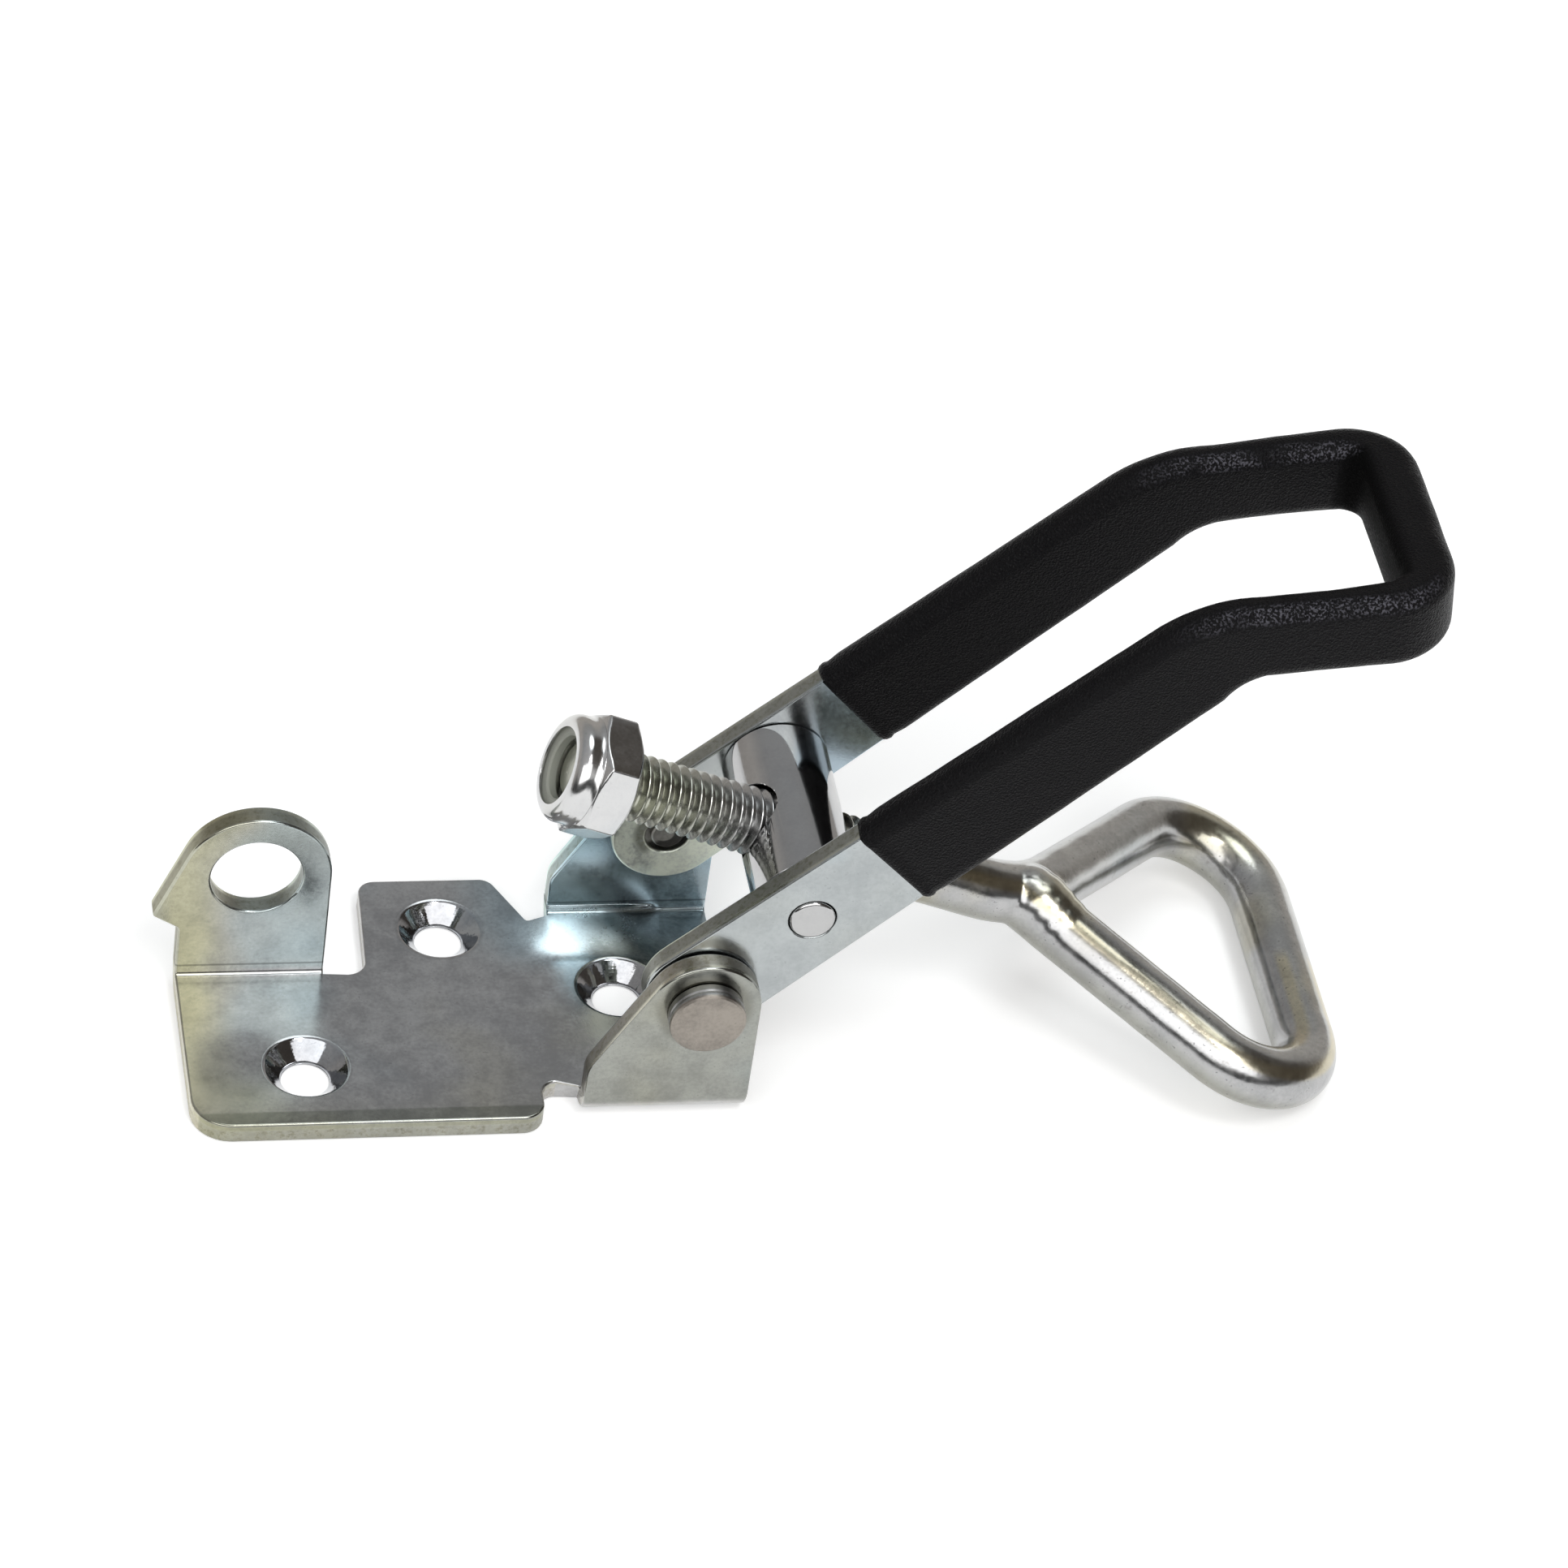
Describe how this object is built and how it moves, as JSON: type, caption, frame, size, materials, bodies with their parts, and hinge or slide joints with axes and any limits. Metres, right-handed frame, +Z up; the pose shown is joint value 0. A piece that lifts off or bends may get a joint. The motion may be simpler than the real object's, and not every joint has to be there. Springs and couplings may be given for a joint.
{
  "type": "over centre toggle latch",
  "caption": "Over centre toggle latch with a folded base, a coated double lever and an adjustable loop hook on a threaded rod.",
  "frame": {"origin": "on the underside of the base, below the pivot axis and midway between the two pivot ears", "axes": "+X from the padlock ear to the loop of the hook, +Y away from the front edge of the base, +Z up from the mounting surface"},
  "size_m": [0.1061, 0.0374, 0.0575],
  "materials": {
    "zinc_plate": "satin zinc plate with a faint blue and yellow tint",
    "zinc_rod": "bright zinc plate with tan streaks",
    "rivet": "matt end faces, warm grey",
    "nut": "bright plated",
    "nylon": "dull grey",
    "vinyl": "near black, fine soft grain"
  },
  "bodies": {
    "base": {"base_plate": "zinc_plate"},
    "lever": {"lever": "zinc_plate", "grip_sleeve": "vinyl", "rivet_front": "rivet", "rivet_rear": "rivet"},
    "cross_bar": {"cross_bar": "zinc_plate"},
    "hook": {"hook_rod": "zinc_rod", "stop_nut": "nut", "nylon_ring": "nylon"}
  },
  "joints": [
    {"name": "lever_hinge", "type": "hinge", "parent": "base", "child": "lever", "pos_m": [0, 0, 0.013], "axis": [0, -1, 0], "range_deg": [-33.6, 143.6]},
    {"name": "cross_bar_swivel", "type": "hinge", "parent": "lever", "child": "cross_bar", "pos_m": [0.00869, 0, 0.02128], "axis": [0, -1, 0], "range_deg": [-130, 30.6]},
    {"name": "hook_slide", "type": "slide", "parent": "cross_bar", "child": "hook", "axis": [0.9314, 0, -0.364], "range_m": [-0.003, 0.0125]}
  ],
  "couplings": [
    {"joint": "cross_bar_swivel", "follows": "lever_hinge", "ratio": -0.904},
    {"joint": "hook_slide", "follows": "lever_hinge", "m_per_rad": 0.0049476}
  ]
}
